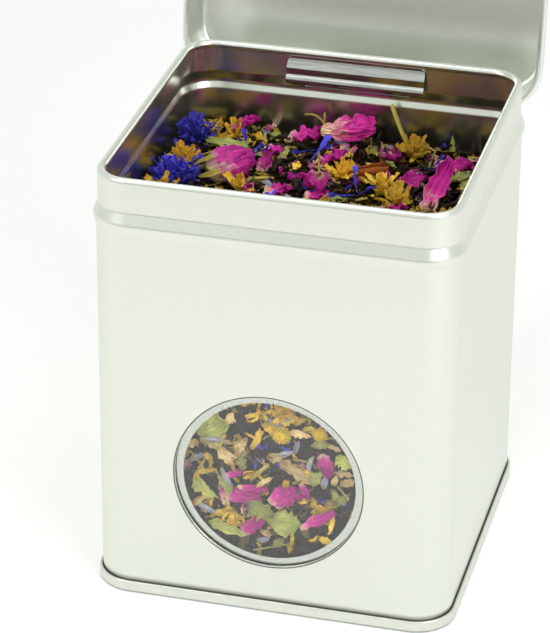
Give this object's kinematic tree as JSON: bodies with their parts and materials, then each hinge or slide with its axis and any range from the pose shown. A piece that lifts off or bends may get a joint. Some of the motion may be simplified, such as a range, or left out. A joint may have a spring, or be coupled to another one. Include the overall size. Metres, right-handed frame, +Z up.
{
  "type": "hinged lid tea tin",
  "caption": "Square tinplate tea caddy with a hinged lid standing open, a round clear window in the front wall and a loose flower tea inside.",
  "frame": {"origin": "centre of the base, on the surface the tin stands on", "axes": "+Z up, +X to the right as seen from the front, +Y to the back where the hinge is"},
  "size_m": [0.0846, 0.1046, 0.1736],
  "materials": {
    "tinplate": "satin tinplate",
    "bright_tinplate": "bright tinplate",
    "wire": "drawn wire",
    "clear_film": "clear plastic sheet",
    "tea_leaf": "dried leaf",
    "rose": "dried petal",
    "marigold": "dried petal",
    "cornflower": "dried petal",
    "green_leaf": "dried leaf",
    "bark": "dried bark",
    "stem": "dried stem"
  },
  "bodies": {
    "tin": {"body_wall": "tinplate", "base_plate": "tinplate", "window_pane": "clear_film", "window_ring": "bright_tinplate", "hinge_strap": "bright_tinplate", "tea_bed": "tea_leaf", "rosebud": "rose", "rose_petal_right": "rose", "rose_petal_back": "rose", "rose_petal_left": "rose", "rose_petal_front": "rose", "marigold_left": "marigold", "marigold_right": "marigold", "cornflower_left": "cornflower", "cornflower_front": "cornflower", "leaf_piece": "green_leaf", "bark_stick": "bark", "flower_stem": "stem"},
    "lid": {"lid_shell": "tinplate", "hinge_pin": "wire"}
  },
  "joints": [
    {"name": "lid_hinge", "type": "hinge", "parent": "tin", "child": "lid", "pos_m": [0, 0.04155, 0.0905], "axis": [1, 0, 0], "range_deg": [0, 98]}
  ]
}
